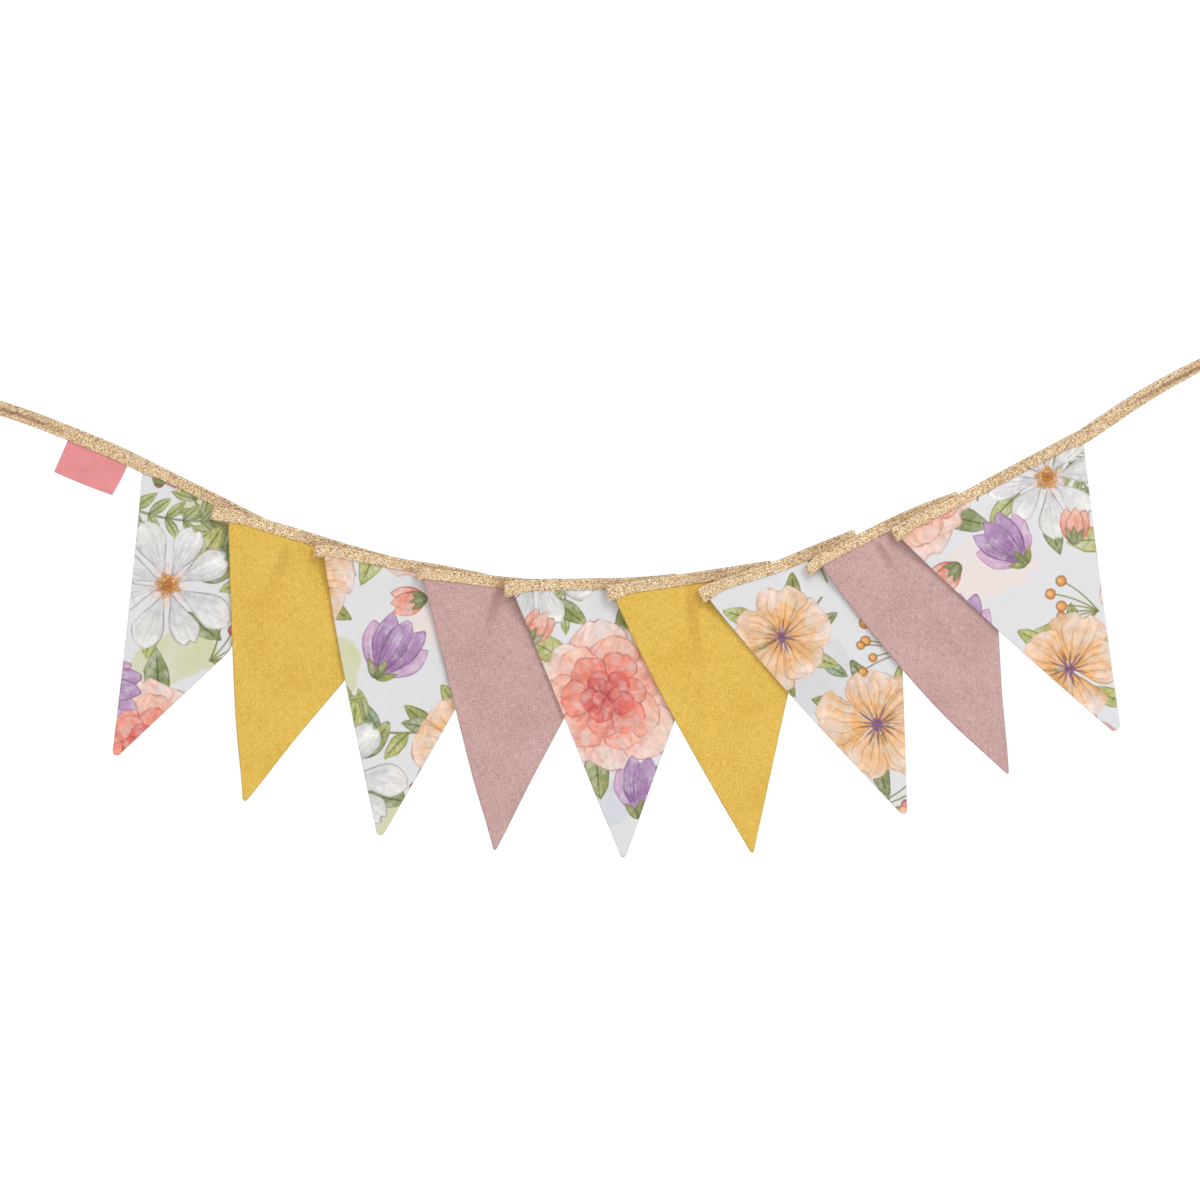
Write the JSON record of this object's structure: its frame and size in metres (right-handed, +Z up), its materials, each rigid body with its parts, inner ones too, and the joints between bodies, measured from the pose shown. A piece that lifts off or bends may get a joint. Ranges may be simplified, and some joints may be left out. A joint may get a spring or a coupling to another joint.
{
  "type": "hanging fabric bunting garland",
  "caption": "Hanging bunting: triangular cloth flags sewn into a folded metallic tape that folds back behind each next flag, with a small blank ribbon label.",
  "frame": {"origin": "on the tape's top edge in the middle of the garland, in the plane that the tape's two free ends hang in", "axes": "+X along the garland to the right as seen from the front, +Z up, and the flags' printed faces look towards -Y"},
  "size_m": [0.9337, 0.0115, 0.3802],
  "materials": {
    "gold_tape": "metallic gold bias tape with a glittering weave",
    "floral_cotton": "white cotton with a printed floral design",
    "ochre_linen": "matt slubby ochre yellow linen",
    "mauve_linen": "matt dusty pink linen",
    "pink_ribbon": "smooth coral pink ribbon, blank"
  },
  "bodies": {
    "root": {"tape": "gold_tape", "flag_1": "floral_cotton", "flag_2": "ochre_linen", "flag_3": "floral_cotton", "flag_4": "mauve_linen", "flag_5": "floral_cotton", "flag_6": "ochre_linen", "flag_7": "floral_cotton", "flag_8": "mauve_linen", "flag_9": "floral_cotton", "label": "pink_ribbon"}
  },
  "joints": []
}
